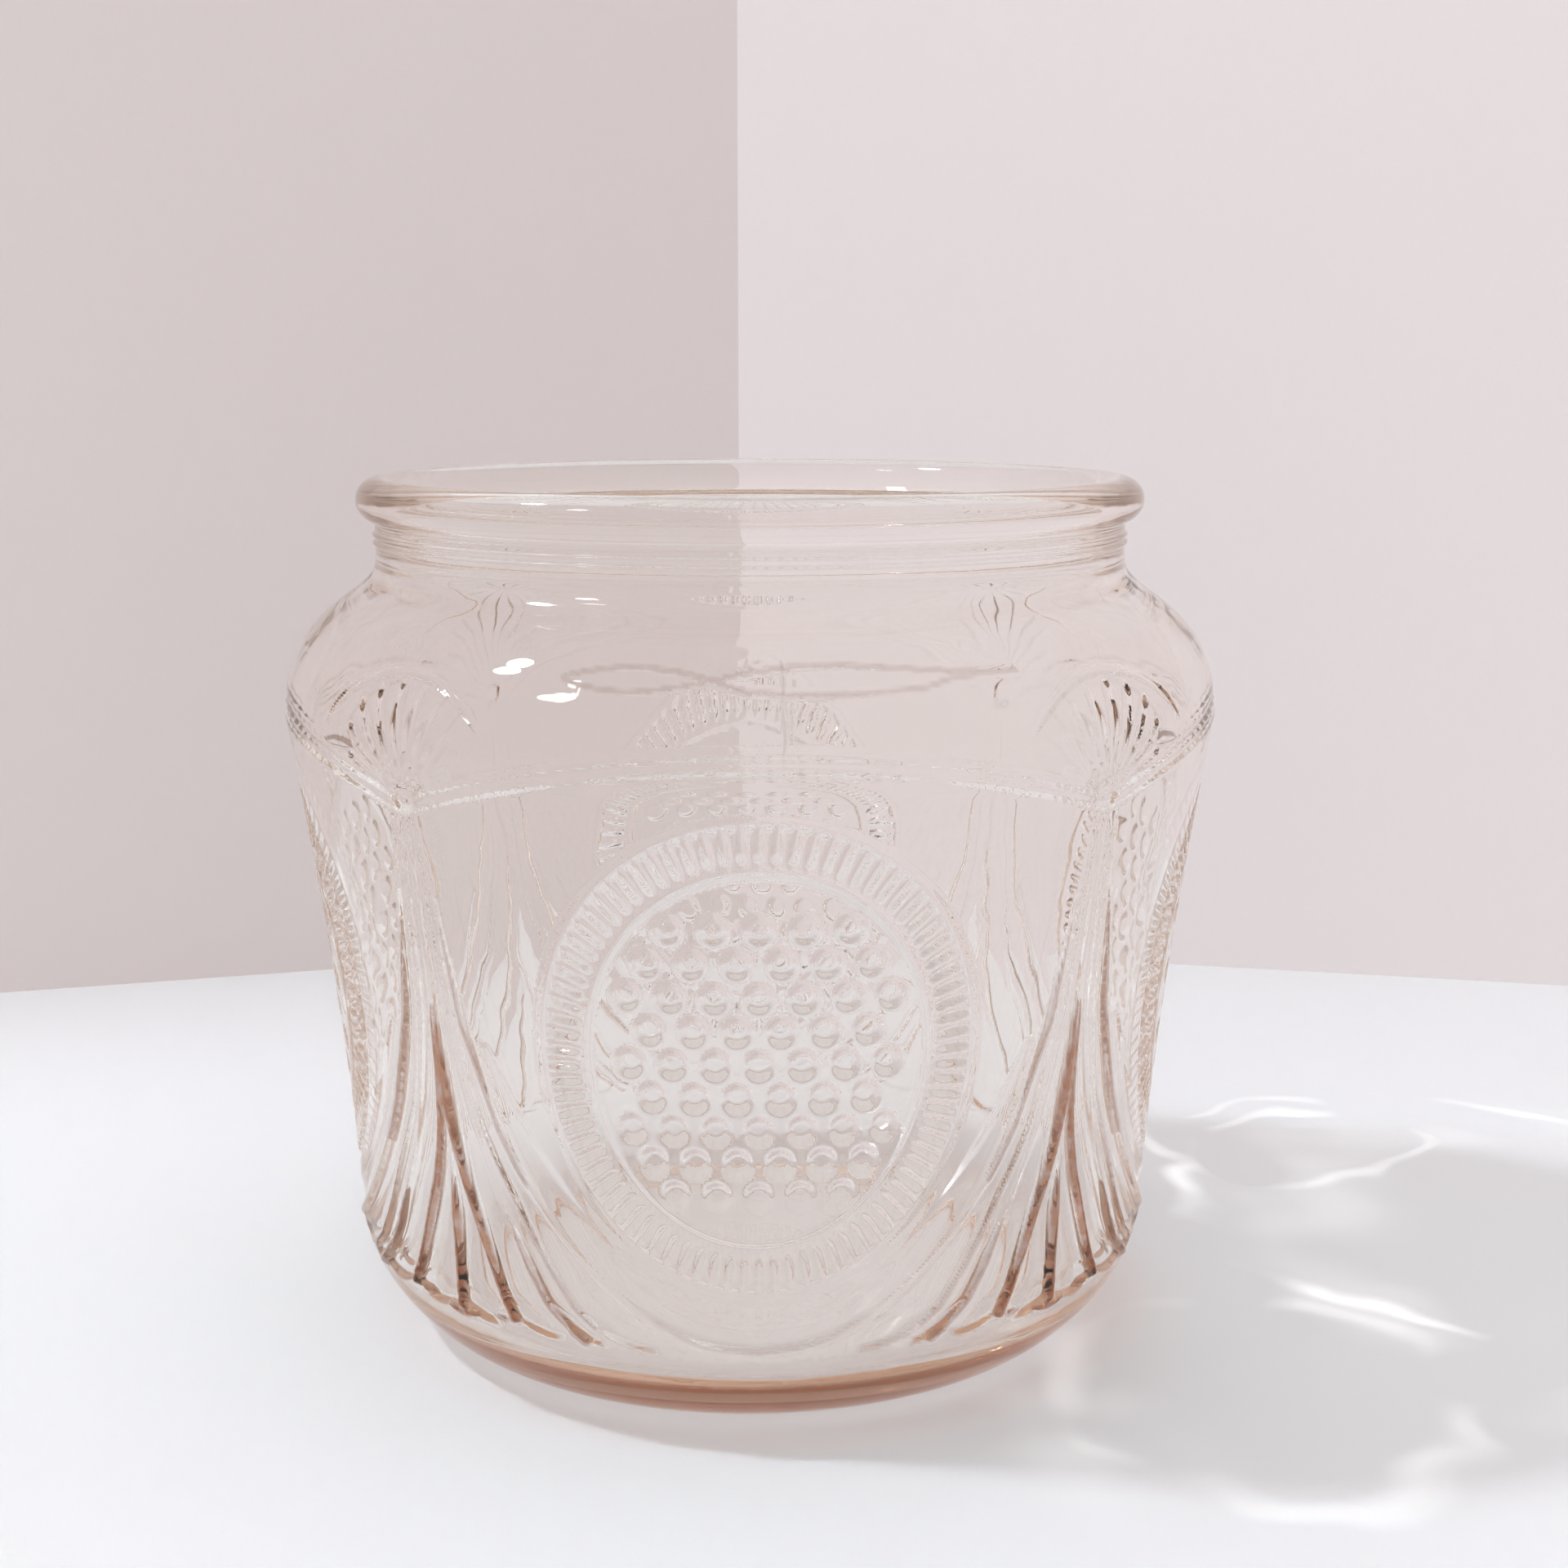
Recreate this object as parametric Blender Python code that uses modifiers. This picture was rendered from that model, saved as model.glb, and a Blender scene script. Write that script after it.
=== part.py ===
"""A wide-mouth jar of pressed glass: one thick-walled body with a rolled rim, a short neck, a rounded
shoulder, a flared wall with a fan of grooves at each of its four corners, and a heavy rounded heel.

Metres, +Z up. The origin is the middle of the foot ring, at the height that the jar stands on, and +Z is
the jar's axis. The middles of its four panels face +X, -X, +Y and -Y, and the fans lie between them.
"""

import math

import bmesh
import bpy
from mathutils import Vector

# Overall sizes
HEIGHT = 0.133  # foot ring to the top of the rim
SHOULDER_RADIUS = 0.0726  # the widest part of the body, at the shoulder's edge
HEEL_INSET = 0.0093  # how far inside the shoulder's edge the foot of the wall stands
FOOT_INSET = 0.0153  # from there in to the outer edge of the ring that the jar stands on

# Rim and neck, with heights measured down from the top
NECK_INSET = 0.0146  # how far inside the shoulder's edge the neck stands
NECK_DROP = 0.012  # top of the rim to the neck's foot
SHOULDER_DROP = 0.0356  # top of the rim to the shoulder's edge
RIM_OVERHANG = 0.0028  # how far the rolled rim stands out from the neck
RIM_BEAD_RADIUS = 0.0033  # the rolled rim's own section
NECK_STEPS = 2  # fine steps that ring the neck under the rim
NECK_STEP_GAP = 0.0019  # rim's underside to the first step's crest
NECK_STEP_PITCH = 0.0012
NECK_STEP_HEIGHT = 0.0004

# Heel and foot, measured up from the foot ring
HEEL_HEIGHT = 0.0192
FOOT_RING_WIDTH = 0.004
RECESS_DEPTH = 0.0015
RECESS_SLOPE = 0.002  # how far in the recess takes to reach its full depth

# Thickness of the glass
NECK_WALL = 0.0034
BODY_WALL = 0.0036
FLOOR_THICKNESS = 0.004
FLOOR_INSET = 0.002  # the foot ring's outer edge in to the edge of the flat inner floor
FLOOR_CURVE_HEIGHT = 0.015  # how far up the wall the inside corner's curve reaches

# Curves, as shares of the stretch that each one spans
SHOULDER_FULLNESS = 0.72
NECK_FILLET = 0.27
HEEL_SIDE_FULLNESS = 0.443
HEEL_FOOT_FULLNESS = 0.39
QUARTER_ROUND = 0.5523  # this share gives a quarter of an ellipse
WALL_FLARE = 1.4  # 1 is a straight cone, and more bends the wall outwards near its top

# Fans of grooves at the four corners, two beside the front panel and two beside the back panel
FAN_OFFSET = math.radians(42.5)  # from the middle of the front or back panel to the fans beside it
FAN_GROOVES = 5
FAN_SPREAD = math.radians(10)  # between neighbouring grooves, at the heel
FAN_GATHER = 0.15  # share of the spread that is left at the tie
FAN_FLARE = 3.5  # 1 spreads the grooves evenly, and more holds them together until near the heel
FAN_TIE_DROP = 0.016  # shoulder's edge down to the tie, where the grooves meet
FAN_RUNOUT = 0.0077  # how far below the heel's top the grooves are carried, to run out of the curve
GROOVE_TOP_RADIUS = 0.0005
GROOVE_FOOT_RADIUS = 0.0016
GROOVE_TOP_DEPTH = 0.0003
GROOVE_FOOT_DEPTH = 0.0010

# Fineness
SEGMENTS = 64
GROOVE_POINTS = 9

SHOULDER_Z = HEIGHT - SHOULDER_DROP
NECK_Z = HEIGHT - NECK_DROP
HEEL_RADIUS = SHOULDER_RADIUS - HEEL_INSET
FOOT_RADIUS = HEEL_RADIUS - FOOT_INSET
FLOOR_RADIUS = FOOT_RADIUS - FLOOR_INSET
NECK_RADIUS = SHOULDER_RADIUS - NECK_INSET
RIM_RADIUS = NECK_RADIUS + RIM_OVERHANG
RIM_UNDERSIDE_Z = HEIGHT - 2 * RIM_BEAD_RADIUS
FLOOR_Z = RECESS_DEPTH + FLOOR_THICKNESS
FLOOR_CURVE_Z = FLOOR_Z + FLOOR_CURVE_HEIGHT


def clear_scene():
    for obj in list(bpy.data.objects):
        bpy.data.objects.remove(obj, do_unlink=True)


def collection(name):
    made = bpy.data.collections.new(name)
    bpy.context.scene.collection.children.link(made)
    return made


def glass(name, colour, roughness):
    material = bpy.data.materials.new(name)
    material.use_nodes = True
    shader = material.node_tree.nodes["Principled BSDF"]
    shader.inputs["Base Color"].default_value = (*colour, 1)
    shader.inputs["Roughness"].default_value = roughness
    shader.inputs["Metallic"].default_value = 0
    shader.inputs["IOR"].default_value = 1.52
    shader.inputs["Transmission Weight"].default_value = 1
    return material


def arc(centre, radius, start, end, steps):
    """Points (radius, height) on a circle, from one angle in degrees to another."""
    angles = [math.radians(start + (end - start) * i / steps) for i in range(steps + 1)]
    return [(centre[0] + radius * math.cos(a), centre[1] + radius * math.sin(a)) for a in angles]


def swept(start, start_handle, end_handle, end, steps):
    """Points on a cubic Bezier curve, from start to end."""
    points = []
    for i in range(steps + 1):
        t = i / steps
        weights = ((1 - t) ** 3, 3 * t * (1 - t) ** 2, 3 * t * t * (1 - t), t**3)
        ends = (start, start_handle, end_handle, end)
        points.append(tuple(sum(w * p[k] for w, p in zip(weights, ends)) for k in (0, 1)))
    return points


def shoulder_curve(neck, edge, steps):
    """The S from the neck's foot, which is upright, out to the shoulder's edge, which is upright too."""
    rise = neck[1] - edge[1]
    neck_handle = (neck[0], neck[1] - NECK_FILLET * rise)
    edge_handle = (edge[0], edge[1] + SHOULDER_FULLNESS * rise)
    return swept(neck, neck_handle, edge_handle, edge, steps)


def wall_radius(z):
    """Outer radius of the flared wall, between the heel and the shoulder's edge."""
    share = max(0.0, (z - HEEL_HEIGHT) / (SHOULDER_Z - HEEL_HEIGHT))
    return HEEL_RADIUS + (SHOULDER_RADIUS - HEEL_RADIUS) * share**WALL_FLARE


def wall_line(top, bottom, thickness, steps):
    heights = [top + (bottom - top) * i / steps for i in range(steps + 1)]
    return [(wall_radius(z) - thickness, z) for z in heights]


def rim_outside():
    bead_centre = (RIM_RADIUS - RIM_BEAD_RADIUS, HEIGHT - RIM_BEAD_RADIUS)
    bead = arc(bead_centre, RIM_BEAD_RADIUS, 90, -70, 7)
    return bead + [(NECK_RADIUS, RIM_UNDERSIDE_Z)]


def neck_outside():
    """The fine steps, each a low ridge with sloping sides."""
    points = []
    for step in range(NECK_STEPS):
        z = RIM_UNDERSIDE_Z - NECK_STEP_GAP - step * NECK_STEP_PITCH
        points.append((NECK_RADIUS, z + NECK_STEP_HEIGHT))
        points.append((NECK_RADIUS + NECK_STEP_HEIGHT, z))
        points.append((NECK_RADIUS, z - NECK_STEP_HEIGHT))
    return points


def heel_curve():
    top = (HEEL_RADIUS, HEEL_HEIGHT)
    foot = (FOOT_RADIUS, 0.0)
    side = (HEEL_RADIUS, HEEL_HEIGHT * (1 - HEEL_SIDE_FULLNESS))
    under = (FOOT_RADIUS + HEEL_FOOT_FULLNESS * (HEEL_RADIUS - FOOT_RADIUS), 0.0)
    return swept(top, side, under, foot, 7)


def underside():
    ring_inside = FOOT_RADIUS - FOOT_RING_WIDTH
    return [(ring_inside, 0.0), (ring_inside - RECESS_SLOPE, RECESS_DEPTH), (0.0, RECESS_DEPTH)]


def inside():
    """From the middle of the floor, up the inside and back to the rim's crest."""
    corner_top = (wall_radius(FLOOR_CURVE_Z) - BODY_WALL, FLOOR_CURVE_Z)
    floor_edge = (FLOOR_RADIUS, FLOOR_Z)
    floor_handle = (FLOOR_RADIUS + QUARTER_ROUND * (corner_top[0] - FLOOR_RADIUS), FLOOR_Z)
    side_handle = (corner_top[0], FLOOR_CURVE_Z - QUARTER_ROUND * FLOOR_CURVE_HEIGHT)
    corner = swept(floor_edge, floor_handle, side_handle, corner_top, 8)
    edge_z = SHOULDER_Z - BODY_WALL / 2
    wall = wall_line(FLOOR_CURVE_Z, edge_z, BODY_WALL, 5)
    mouth_radius = NECK_RADIUS - NECK_WALL
    neck_foot = (mouth_radius, NECK_Z - NECK_WALL / 2)
    shoulder = shoulder_curve(neck_foot, wall[-1], 7)[::-1]
    crest_radius = RIM_RADIUS - RIM_BEAD_RADIUS
    lip_height = crest_radius - mouth_radius
    lip = swept(
        (mouth_radius, HEIGHT - lip_height),
        (mouth_radius, HEIGHT - lip_height * (1 - QUARTER_ROUND)),
        (crest_radius - lip_height * QUARTER_ROUND, HEIGHT),
        (crest_radius, HEIGHT),
        4,
    )
    return [(0.0, FLOOR_Z)] + corner + wall[1:] + shoulder[1:] + lip[:-1]


def jar_outline():
    """The whole section, from the rim's crest down the outside, in under the foot and up the inside."""
    shoulder = shoulder_curve((NECK_RADIUS, NECK_Z), (SHOULDER_RADIUS, SHOULDER_Z), 9)
    wall = wall_line(SHOULDER_Z, HEEL_HEIGHT, 0.0, 7)
    outside = rim_outside() + neck_outside() + shoulder + wall[1:] + heel_curve()[1:]
    return outside, underside(), inside()


def turned(name, outline, target):
    """A mesh of the outline, with a Screw modifier that turns it about Z."""
    outside, under, inner = outline
    mesh = bpy.data.meshes.new(name)
    shape = bmesh.new()
    lower = [shape.verts.new((r, 0, z)) for r, z in outside + under]
    upper = [shape.verts.new((r, 0, z)) for r, z in inner]
    for line in (lower, upper):
        for a, b in zip(line, line[1:]):
            shape.edges.new((a, b))
    shape.edges.new((upper[-1], lower[0]))
    shape.to_mesh(mesh)
    shape.free()
    obj = bpy.data.objects.new(name, mesh)
    target.objects.link(obj)
    screw = obj.modifiers.new("Turn", "SCREW")
    screw.axis = "Z"
    screw.steps = SEGMENTS
    screw.render_steps = SEGMENTS
    screw.use_merge_vertices = True
    screw.merge_threshold = 0.00001
    return obj


def groove_route(fan_angle, offset):
    """Points and radii of one groove's cutter, from the tie down to below where the heel turns in."""
    top = SHOULDER_Z - FAN_TIE_DROP
    foot = HEEL_HEIGHT - FAN_RUNOUT
    route = []
    for i in range(GROOVE_POINTS):
        share = i / (GROOVE_POINTS - 1)
        z = top + (foot - top) * share
        angle = fan_angle + offset * (FAN_GATHER + (1 - FAN_GATHER) * share**FAN_FLARE)
        radius = GROOVE_TOP_RADIUS + (GROOVE_FOOT_RADIUS - GROOVE_TOP_RADIUS) * share
        depth = GROOVE_TOP_DEPTH + (GROOVE_FOOT_DEPTH - GROOVE_TOP_DEPTH) * share
        reach = wall_radius(z) + radius - depth
        route.append((Vector((reach * math.cos(angle), reach * math.sin(angle), z)), radius))
    return route


def groove_cutters(target):
    """One curve that holds every groove's tapered tube, made a mesh with its caps welded."""
    curve = bpy.data.curves.new("fan_grooves", "CURVE")
    curve.dimensions = "3D"
    curve.bevel_depth = 1.0
    curve.bevel_resolution = 1
    curve.use_fill_caps = True
    panels = (-math.pi / 2, math.pi / 2)
    for fan_angle in [panel + side * FAN_OFFSET for panel in panels for side in (-1, 1)]:
        for groove in range(FAN_GROOVES):
            offset = (groove - (FAN_GROOVES - 1) / 2) * FAN_SPREAD
            route = groove_route(fan_angle, offset)
            spline = curve.splines.new("POLY")
            spline.points.add(len(route) - 1)
            for point, (place, radius) in zip(spline.points, route):
                point.co = (*place, 1)
                point.radius = radius
    guide = bpy.data.objects.new("fan_grooves_guide", curve)
    target.objects.link(guide)
    graph = bpy.context.evaluated_depsgraph_get()
    mesh = bpy.data.meshes.new_from_object(guide.evaluated_get(graph))
    shape = bmesh.new()
    shape.from_mesh(mesh)
    bmesh.ops.remove_doubles(shape, verts=shape.verts, dist=0.000001)
    bmesh.ops.recalc_face_normals(shape, faces=shape.faces)
    shape.to_mesh(mesh)
    shape.free()
    cutter = bpy.data.objects.new("fan_grooves", mesh)
    cutter.matrix_world = guide.matrix_world
    target.objects.link(cutter)
    bpy.data.objects.remove(guide)
    cutter.hide_render = True
    cutter.display_type = "WIRE"
    return cutter


def cut(obj, cutter):
    boolean = obj.modifiers.new(cutter.name, "BOOLEAN")
    boolean.operation = "DIFFERENCE"
    boolean.solver = "EXACT"
    boolean.object = cutter


def shade_round(obj):
    obj.data.shade_smooth()
    obj.data.set_sharp_from_angle(angle=math.radians(40))


def main():
    clear_scene()
    parts = collection("pressed_glass_jar")
    cutters = collection("cutters")
    jar = turned("glass_jar", jar_outline(), parts)
    jar.data.materials.append(glass("pink_glass", (0.93, 0.72, 0.63), 0.04))
    shade_round(jar)
    cut(jar, groove_cutters(cutters))


main()
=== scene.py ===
"""The looks of a wide-mouth jar of pale pink pressed glass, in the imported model's frame.

The jar is one closed skin: a turned section whose outer wall carries the moulded relief. The relief is drawn
by strokes on a flat half panel, which is repeated, turned and mirrored, round the wall.

Metres, +Z up, with the origin in the middle of the foot ring. On the half panel, the numbers are in
millimetres: x runs from the middle of a panel to the middle of a fan, and y is the height above the foot.
"""

import math

import bpy
import numpy as np
from mathutils import Euler, Matrix, Vector


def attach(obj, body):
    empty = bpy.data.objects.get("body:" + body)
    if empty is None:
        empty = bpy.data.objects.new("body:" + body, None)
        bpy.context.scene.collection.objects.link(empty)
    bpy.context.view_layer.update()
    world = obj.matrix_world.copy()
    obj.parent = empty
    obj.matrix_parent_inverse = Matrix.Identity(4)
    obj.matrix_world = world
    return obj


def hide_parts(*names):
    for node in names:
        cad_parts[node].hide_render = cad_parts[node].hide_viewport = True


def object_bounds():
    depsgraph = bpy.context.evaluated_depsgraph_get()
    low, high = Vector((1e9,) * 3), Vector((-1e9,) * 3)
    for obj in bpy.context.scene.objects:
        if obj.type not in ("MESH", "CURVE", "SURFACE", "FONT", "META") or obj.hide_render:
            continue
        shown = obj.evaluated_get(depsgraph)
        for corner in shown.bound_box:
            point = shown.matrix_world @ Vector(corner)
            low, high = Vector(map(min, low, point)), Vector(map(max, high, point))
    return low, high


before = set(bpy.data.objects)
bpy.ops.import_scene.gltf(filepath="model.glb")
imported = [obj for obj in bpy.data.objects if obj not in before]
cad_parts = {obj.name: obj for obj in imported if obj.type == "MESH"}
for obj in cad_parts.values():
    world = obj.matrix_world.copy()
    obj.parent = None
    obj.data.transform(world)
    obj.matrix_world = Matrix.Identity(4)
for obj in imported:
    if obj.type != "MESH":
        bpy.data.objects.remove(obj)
CAD_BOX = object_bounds()
MM = 0.001

# Section of the jar, in metres
HEIGHT = CAD_BOX[1][2]
BODY_RADIUS = CAD_BOX[1][0]
RELIEF_ROOM = 0.0003  # the wall stands in by this much at its widest, so that the relief stays in the box
SHOULDER_RADIUS = BODY_RADIUS - RELIEF_ROOM
HEEL_RADIUS = BODY_RADIUS - 0.0093
FOOT_RADIUS = HEEL_RADIUS - 0.0153
NECK_RADIUS = BODY_RADIUS - 0.0146
NECK_DROP = 0.012
SHOULDER_DROP = 0.0356
RIM_OVERHANG = 0.0028
RIM_BEAD_RADIUS = 0.0033
NECK_STEPS = 2
NECK_STEP_GAP = 0.0019
NECK_STEP_PITCH = 0.0012
NECK_STEP_HEIGHT = 0.0004
HEEL_HEIGHT = 0.0192
FOOT_RING_WIDTH = 0.004
RECESS_DEPTH = 0.0015
RECESS_SLOPE = 0.002
NECK_WALL = 0.0034
BODY_WALL = 0.0036
FLOOR_THICKNESS = 0.004
FLOOR_RADIUS = FOOT_RADIUS - 0.002
FLOOR_CURVE_HEIGHT = 0.015
SHOULDER_FULLNESS = 0.72
NECK_FILLET = 0.27
HEEL_SIDE_FULLNESS = 0.443
HEEL_FOOT_FULLNESS = 0.39
QUARTER_ROUND = 0.5523
WALL_FLARE = 1.4
SHOULDER_Z = HEIGHT - SHOULDER_DROP
NECK_Z = HEIGHT - NECK_DROP
RIM_RADIUS = NECK_RADIUS + RIM_OVERHANG
RIM_UNDERSIDE_Z = HEIGHT - 2 * RIM_BEAD_RADIUS
FLOOR_Z = RECESS_DEPTH + FLOOR_THICKNESS

# Layout of the relief
FAN_OFFSET = math.radians(42.5)  # from the middle of the front and back panels to the fans beside them
HALF_PANEL = 50.5  # x of a fan's middle

TABLE_Z = -0.0001  # a hair under the foot ring, so that there is air between them

# Fineness of the skin
FINE_COLUMNS = 1280
COARSE_COLUMNS = 256
RELIEF_TOP = 0.1135
RELIEF_BOLDNESS = 1.25  # what the drawn heights of the ridges are multiplied by
RELIEF_BOTTOM = 0.0115
ROW_STEP = 0.00045

# Where painted shade, the brown that light takes on through the heel's thick edge, shows most, and how much painted
# shade the seam loop gets
HEEL_PAINTED_SHADE_TOP = 0.0098
HEEL_PAINTED_SHADE_FADE = 0.0016
SEAM_PAINTED_SHADE = 0.3
HEEL_PAINTED_SHADE_FOOT = 0.0022  # it is paler below this


# ---------------------------------------------------------------- section

def arc(centre, radius, start, end, steps):
    angles = np.radians(np.linspace(start, end, steps + 1))
    return [(centre[0] + radius * math.cos(a), centre[1] + radius * math.sin(a)) for a in angles]


def swept(start, start_handle, end_handle, end, steps):
    """Points on a cubic Bezier curve, from start to end."""
    t = np.linspace(0, 1, steps + 1)[:, None]
    ends = [np.array(p, float) for p in (start, start_handle, end_handle, end)]
    points = ends[0] * (1 - t) ** 3 + ends[1] * 3 * t * (1 - t) ** 2 + ends[2] * 3 * t * t * (1 - t) + ends[3] * t**3
    return [tuple(p) for p in points]


def shoulder_curve(neck, edge, steps):
    rise = neck[1] - edge[1]
    neck_handle = (neck[0], neck[1] - NECK_FILLET * rise)
    edge_handle = (edge[0], edge[1] + SHOULDER_FULLNESS * rise)
    return swept(neck, neck_handle, edge_handle, edge, steps)


def wall_radius(z):
    share = max(0.0, (z - HEEL_HEIGHT) / (SHOULDER_Z - HEEL_HEIGHT))
    return HEEL_RADIUS + (SHOULDER_RADIUS - HEEL_RADIUS) * share**WALL_FLARE


def wall_line(top, bottom, thickness, steps):
    return [(wall_radius(z) - thickness, z) for z in np.linspace(top, bottom, steps + 1)]


def outside_line():
    """From the rim's crest down to the outer edge of the foot ring."""
    line = arc((RIM_RADIUS - RIM_BEAD_RADIUS, HEIGHT - RIM_BEAD_RADIUS), RIM_BEAD_RADIUS, 90, -70, 22)
    line.append((NECK_RADIUS + 0.00005, RIM_UNDERSIDE_Z + 0.0001))
    line.append((NECK_RADIUS, RIM_UNDERSIDE_Z - 0.0004))
    for step in range(NECK_STEPS):
        z = RIM_UNDERSIDE_Z - NECK_STEP_GAP - step * NECK_STEP_PITCH
        for share in (-1, -0.6, -0.2, 0.2, 0.6, 1):
            swell = NECK_STEP_HEIGHT * 0.5 * (1 + math.cos(math.pi * share))
            line.append((NECK_RADIUS + swell, z - share * NECK_STEP_PITCH * 0.45))
    line += shoulder_curve((NECK_RADIUS, NECK_Z), (SHOULDER_RADIUS, SHOULDER_Z), 60)
    line += wall_line(SHOULDER_Z, HEEL_HEIGHT, 0.0, 90)[1:]
    side = (HEEL_RADIUS, HEEL_HEIGHT * (1 - HEEL_SIDE_FULLNESS))
    under = (FOOT_RADIUS + HEEL_FOOT_FULLNESS * (HEEL_RADIUS - FOOT_RADIUS), 0.0)
    line += swept((HEEL_RADIUS, HEEL_HEIGHT), side, under, (FOOT_RADIUS, 0.0), 40)[1:]
    return np.array(line)


def underside_line():
    inner = FOOT_RADIUS - FOOT_RING_WIDTH
    line = swept((inner, 0.0), (inner - 0.0008, 0.0), (inner - 0.0012, RECESS_DEPTH),
                 (inner - RECESS_SLOPE, RECESS_DEPTH), 8)
    return np.array(line + [(r, RECESS_DEPTH) for r in (0.036, 0.028, 0.020, 0.012, 0.005)])


def inside_line():
    """From near the middle of the floor up the inside to the rim's crest."""
    corner_top_z = FLOOR_Z + FLOOR_CURVE_HEIGHT
    corner_top = (wall_radius(corner_top_z) - BODY_WALL, corner_top_z)
    floor_handle = (FLOOR_RADIUS + QUARTER_ROUND * (corner_top[0] - FLOOR_RADIUS), FLOOR_Z)
    side_handle = (corner_top[0], corner_top_z - QUARTER_ROUND * FLOOR_CURVE_HEIGHT)
    line = [(r, FLOOR_Z) for r in (0.005, 0.012, 0.020, 0.028, 0.036, 0.042)]
    line += swept((FLOOR_RADIUS, FLOOR_Z), floor_handle, side_handle, corner_top, 30)
    line += wall_line(corner_top_z, SHOULDER_Z - BODY_WALL / 2, BODY_WALL, 40)[1:]
    mouth_radius = NECK_RADIUS - NECK_WALL
    line += shoulder_curve((mouth_radius, NECK_Z - NECK_WALL / 2), line[-1], 34)[::-1][1:]
    crest = RIM_RADIUS - RIM_BEAD_RADIUS
    lip = crest - mouth_radius
    line += swept((mouth_radius, HEIGHT - lip), (mouth_radius, HEIGHT - lip * (1 - QUARTER_ROUND)),
                  (crest - lip * QUARTER_ROUND, HEIGHT), (crest, HEIGHT), 8)[:-1]
    return np.array(line)


def evenly(line, step):
    """The same line with its points evenly spaced."""
    run = np.concatenate([[0], np.cumsum(np.hypot(*np.diff(line, axis=0).T))])
    at = np.linspace(0, run[-1], max(2, round(run[-1] / step) + 1))
    return np.stack([np.interp(at, run, line[:, k]) for k in (0, 1)], 1)


# ---------------------------------------------------------------- strokes

def smoothstep(t):
    t = np.clip(t, 0, 1)
    return t * t * (3 - 2 * t)


def flowing(points, steps=7):
    """A smooth path through the control points."""
    p = np.array(points, float)
    if len(p) < 3:
        return p
    p = np.vstack([2 * p[0] - p[1], p, 2 * p[-1] - p[-2]])
    t = np.linspace(0, 1, steps, endpoint=False)[:, None]
    path = []
    for a, b, c, d in zip(p, p[1:], p[2:], p[3:]):
        path.append(0.5 * (2 * b + (c - a) * t + (2 * a - 5 * b + 4 * c - d) * t**2 + (3 * b - a - 3 * c + d) * t**3))
    return np.vstack(path + [p[-2:-1]])


class Relief:
    """Heights in millimetres over a grid. across is each column's x on the half panel, and up each row's y."""

    def __init__(self, across, up):
        self.across, self.up = across, up
        self.raised = np.zeros((len(up), len(across)))
        self.sunk = np.zeros_like(self.raised)
        # painted shade on the same grid: the brown that light takes on in the grooves
        self.painted_shade_field = np.zeros_like(self.raised)

    def window(self, low, high):
        columns = np.where((self.across >= low[0]) & (self.across <= high[0]))[0]
        rows = np.where((self.up >= low[1]) & (self.up <= high[1]))[0]
        return np.ix_(rows, columns), self.across[columns][None, :], self.up[rows][:, None]

    def stroke(self, points, width, height, ends=(0.35, 0.35), sunk=False, smooth=True, stain=0.0):
        """A rounded ridge along the points, or a groove. ends is how wide it is at each end, as a share. It can carry
        painted shade, the brown that light takes on in thick glass, strongest along its middle.
        """
        path = flowing(points) if smooth else np.array(points, float)
        span, x, y = self.window(path.min(0) - width, path.max(0) + width)
        if not x.size or not y.size:
            return
        run = np.concatenate([[0], np.cumsum(np.hypot(*np.diff(path, axis=0).T))])
        run /= run[-1]
        best = np.zeros(np.broadcast(x, y).shape)
        # how much painted shade each point gets, strongest along the middle
        colour = np.zeros_like(best)
        for (ax, ay), (bx, by), r0, r1 in zip(path, path[1:], run, run[1:]):
            dx, dy = bx - ax, by - ay
            t = np.clip(((x - ax) * dx + (y - ay) * dy) / max(dx * dx + dy * dy, 1e-9), 0, 1)
            away = np.hypot(x - ax - t * dx, y - ay - t * dy)
            along = r0 + (r1 - r0) * t
            taper = np.minimum(1, np.minimum(ends[0] + along / 0.3 * (1 - ends[0]),
                                             ends[1] + (1 - along) / 0.3 * (1 - ends[1])))
            share = np.clip(away / (width * taper), 0, 1)
            best = np.maximum(best, (1 - share**2) * height * np.sqrt(taper))
            colour = np.maximum(colour, stain * smoothstep((1 - share) * 3))
        field = self.sunk if sunk else self.raised
        field[span] = np.maximum(field[span], best)
        if stain:
            self.painted_shade_field[span] = np.maximum(self.painted_shade_field[span], colour)

    def bars(self, outer, inner, count, width, height):
        """A row of short bars between two paths."""
        edges = []
        for line in (outer, inner):
            path = flowing(line, 12)
            run = np.concatenate([[0], np.cumsum(np.hypot(*np.diff(path, axis=0).T))])
            at = np.linspace(0, run[-1], count)
            edges.append(np.stack([np.interp(at, run, path[:, k]) for k in (0, 1)], 1))
        for a, b in zip(*edges):
            self.stroke([a, b], width, height, ends=(0.8, 0.55))

    def dome(self, centre, radii, height):
        """A rounded boss."""
        reach = max(radii)
        span, x, y = self.window(np.array(centre) - reach, np.array(centre) + reach)
        dx, dy = x - centre[0], y - centre[1]
        away = np.hypot(dx / radii[0], dy / radii[1])
        hump = height * smoothstep((1 - away) / 0.45)
        self.raised[span] = np.maximum(self.raised[span], hump)


# ---------------------------------------------------------------- the pattern, drawn on the half panel

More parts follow.
